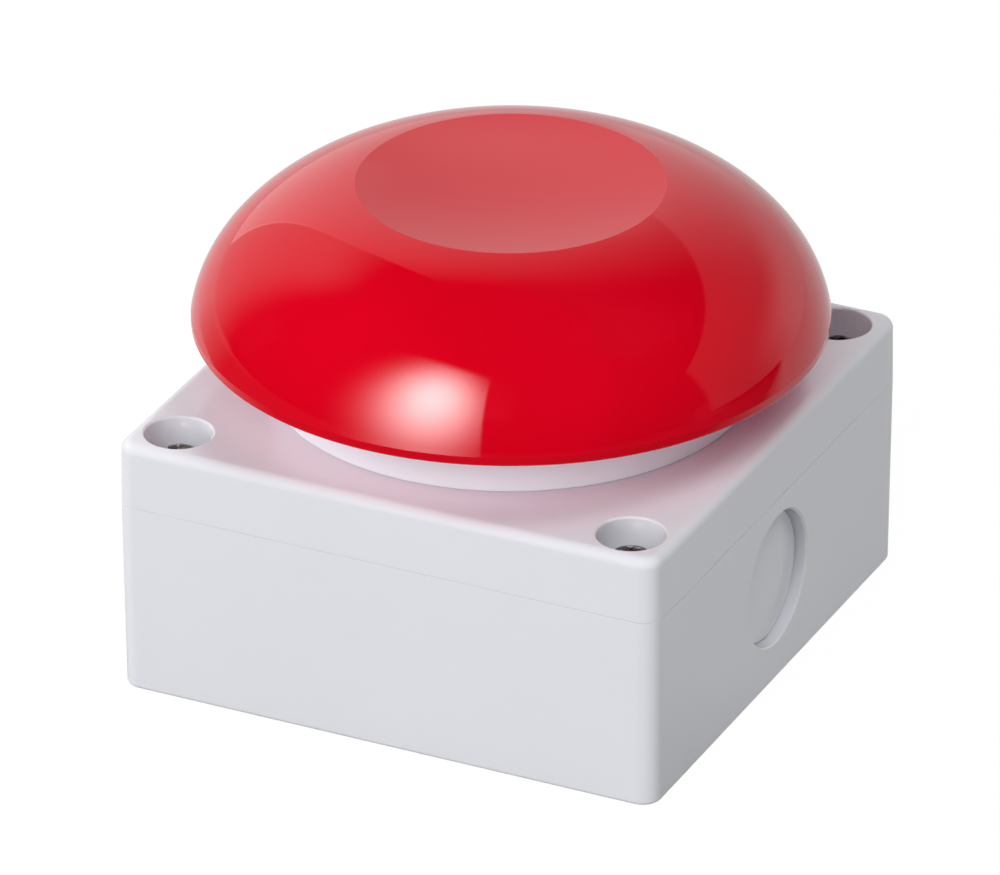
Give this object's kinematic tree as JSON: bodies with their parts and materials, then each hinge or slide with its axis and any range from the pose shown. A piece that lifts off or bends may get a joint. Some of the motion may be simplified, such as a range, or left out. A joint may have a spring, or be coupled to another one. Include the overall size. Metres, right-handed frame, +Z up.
{
  "type": "mushroom push button",
  "caption": "Large domed palm push button on a collar, on a square surface-mounting box with a screwed lid and round knock-outs.",
  "frame": {"origin": "centre of the box's underside, on the surface that the box stands on or is fixed to", "axes": "+Z up through the dome along the plunger, -Y towards the plain front side, +X towards one of the two sides with a knock-out"},
  "size_m": [0.094, 0.094, 0.0724],
  "materials": {
    "box_grey": "satin moulded plastic",
    "collar_white": "fine satin moulded plastic",
    "cap_red": "glossy moulded plastic",
    "seal_rubber": "matt rubber",
    "screw_steel": "bright zinc-plated steel",
    "spring_steel": "drawn steel wire",
    "guide_plastic": "natural bearing plastic",
    "plunger_plastic": "dark moulded plastic",
    "block_plastic": "dark grey moulded plastic",
    "cover_clear": "grey moulded plastic",
    "slider_green": "green moulded plastic",
    "slider_red": "red moulded plastic",
    "contact_brass": "stamped brass with silver contact rivets"
  },
  "bodies": {
    "case": {"enclosure_base": "box_grey", "enclosure_lid": "box_grey", "lid_gasket": "seal_rubber", "lid_screws": "screw_steel", "collar": "collar_white", "collar_gasket": "seal_rubber", "collar_screws": "screw_steel", "guide_bush": "guide_plastic", "stem_seal": "seal_rubber", "seal_cap": "guide_plastic", "return_spring": "spring_steel", "contact_carrier": "block_plastic", "carrier_screws": "screw_steel", "no_housing": "block_plastic", "no_cover": "cover_clear", "no_terminals": "contact_brass", "no_clamps": "screw_steel", "no_screws": "screw_steel", "nc_housing": "block_plastic", "nc_cover": "cover_clear", "nc_spring": "spring_steel", "nc_terminals": "contact_brass", "nc_clamps": "screw_steel", "nc_screws": "screw_steel", "no_lift_spring": "spring_steel"},
    "cap_group": {"mushroom_cap": "cap_red", "plunger": "plunger_plastic", "cap_screw": "screw_steel"},
    "no_slider": {"no_slider": "slider_green", "no_spring": "spring_steel"},
    "no_bridge": {"no_bridge": "contact_brass"},
    "nc_slider": {"nc_slider": "slider_red", "nc_bridge": "contact_brass"}
  },
  "joints": [
    {"name": "cap_press", "type": "slide", "parent": "case", "child": "cap_group", "axis": [0, 0, -1], "range_m": [0, 0.005], "stiffness_N_per_m": 1500, "springref_m": -0.0053, "deforming": ["return_spring"]},
    {"name": "no_slider_press", "type": "slide", "parent": "case", "child": "no_slider", "axis": [0, 0, -1], "range_m": [0, 0.005], "deforming": ["no_lift_spring"]},
    {"name": "nc_slider_press", "type": "slide", "parent": "case", "child": "nc_slider", "axis": [0, 0, -1], "range_m": [0, 0.005], "deforming": ["nc_spring"]},
    {"name": "no_bridge_lift", "type": "slide", "parent": "no_slider", "child": "no_bridge", "axis": [0, 0, 1], "range_m": [0, 0.0025], "deforming": ["no_spring"]}
  ],
  "couplings": [
    {"joint": "no_slider_press", "follows": "cap_press", "ratio": 1},
    {"joint": "nc_slider_press", "follows": "cap_press", "ratio": 1},
    {"joint": "no_bridge_lift", "follows": "cap_press", "ratio": 0.5}
  ]
}
